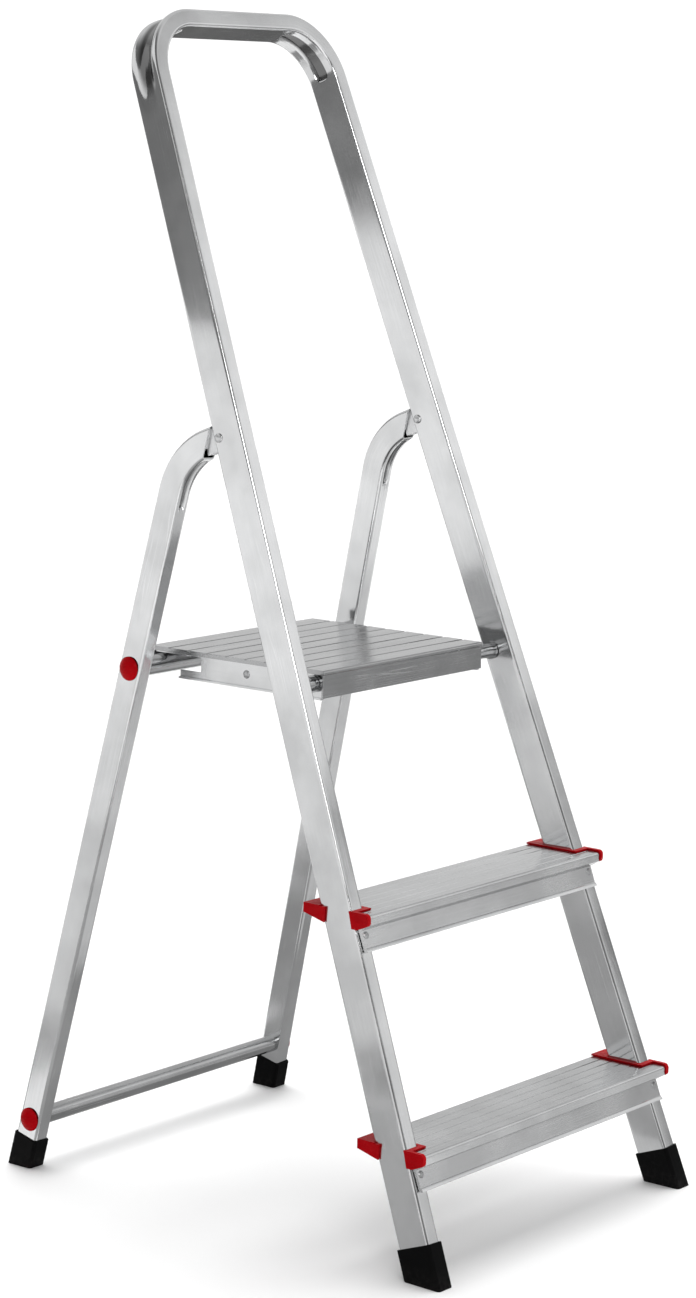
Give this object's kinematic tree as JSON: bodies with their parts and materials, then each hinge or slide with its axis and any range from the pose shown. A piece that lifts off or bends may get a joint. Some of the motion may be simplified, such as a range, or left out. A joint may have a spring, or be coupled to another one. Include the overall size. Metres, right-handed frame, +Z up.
{
  "type": "step ladder",
  "caption": "Folding aluminium step ladder with ribbed treads, a fold-up standing platform, a tall handrail loop, red plastic collars and caps, and black feet.",
  "frame": {"origin": "on the floor, in the middle of the footprint between the front and rear feet", "axes": "+Z up; +Y the way the user climbs, from the front feet towards the rear feet; +X to the user's right"},
  "size_m": [0.4636, 0.622, 1.2933],
  "materials": {
    "frame_aluminium": "bright satin rectangular tube",
    "extruded_aluminium": "satin extrusion",
    "round_tube_aluminium": "bright drawn tube",
    "rivet_aluminium": "dull rivet",
    "red_plastic": "moulded red plastic",
    "foot_plastic": "black moulded foot"
  },
  "bodies": {
    "front_frame": {"front_loop": "frame_aluminium", "step_lower": "extruded_aluminium", "step_middle": "extruded_aluminium", "collar_lower_left": "red_plastic", "collar_lower_right": "red_plastic", "collar_middle_left": "red_plastic", "collar_middle_right": "red_plastic", "step_rivets": "rivet_aluminium", "foot_front_left": "foot_plastic", "foot_front_right": "foot_plastic", "pivot_tube": "round_tube_aluminium", "hinge_pin_left": "rivet_aluminium", "hinge_pin_right": "rivet_aluminium"},
    "platform": {"platform_plate": "extruded_aluminium", "platform_rail_left": "extruded_aluminium", "platform_rail_right": "extruded_aluminium", "platform_tie_rod": "rivet_aluminium", "platform_rivets": "rivet_aluminium"},
    "rear_frame": {"rear_leg_left": "frame_aluminium", "rear_leg_right": "frame_aluminium", "hinge_tongue_left": "frame_aluminium", "hinge_tongue_right": "frame_aluminium", "rear_tube_upper": "round_tube_aluminium", "rear_tube_lower": "round_tube_aluminium", "cap_upper_left": "red_plastic", "cap_upper_right": "red_plastic", "cap_lower_left": "red_plastic", "cap_lower_right": "red_plastic", "foot_rear_left": "foot_plastic", "foot_rear_right": "foot_plastic"}
  },
  "joints": [
    {"name": "rear_frame_fold", "type": "hinge", "parent": "front_frame", "child": "rear_frame", "pos_m": [0, 0.04413, 0.84122], "axis": [-1, 0, 0], "range_deg": [0, 33.8]},
    {"name": "platform_tilt", "type": "hinge", "parent": "front_frame", "child": "platform", "pos_m": [0, -0.05705, 0.585], "axis": [1, 0, 0], "range_deg": [0, 69.3]}
  ],
  "couplings": [
    {"joint": "platform_tilt", "follows": "rear_frame_fold", "ratio": 2.05}
  ]
}
